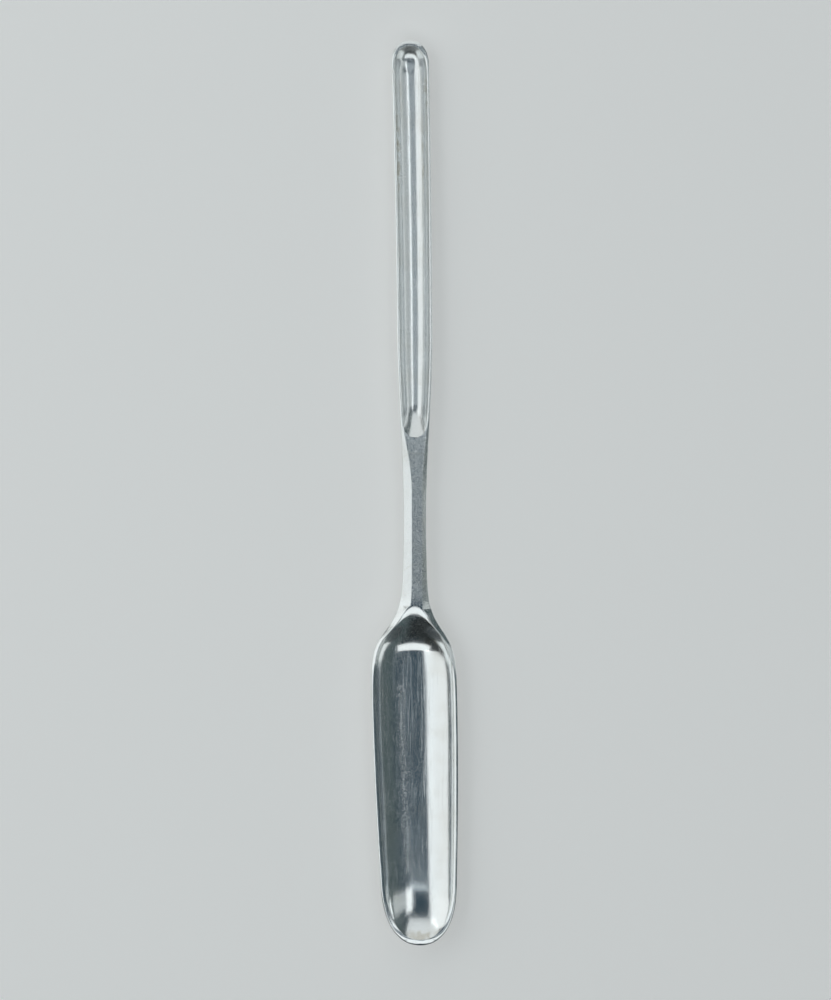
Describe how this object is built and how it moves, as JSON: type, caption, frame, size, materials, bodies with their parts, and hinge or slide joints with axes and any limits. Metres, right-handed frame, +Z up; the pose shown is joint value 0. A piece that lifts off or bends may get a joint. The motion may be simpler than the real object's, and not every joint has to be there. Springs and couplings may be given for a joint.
{
  "type": "marrow scoop",
  "caption": "Long silver scoop for drawing marrow from bones, with a wide trough at one end, a narrow trough at the other and a bevelled shank between them.",
  "frame": {"origin": "on the table under the middle of the object as it lies on its back", "axes": "+Y along the length from the wide tip to the narrow tip, +Z up out of the hollows, +X to the right seen from above with the narrow scoop away from the viewer"},
  "size_m": [0.0217, 0.225, 0.006],
  "materials": {
    "silver": "polished",
    "solder": "polished"
  },
  "bodies": {
    "root": {"wide_scoop": "silver", "shank": "silver", "narrow_scoop": "silver", "wide_joint_solder": "solder", "narrow_joint_solder": "solder"}
  },
  "joints": []
}
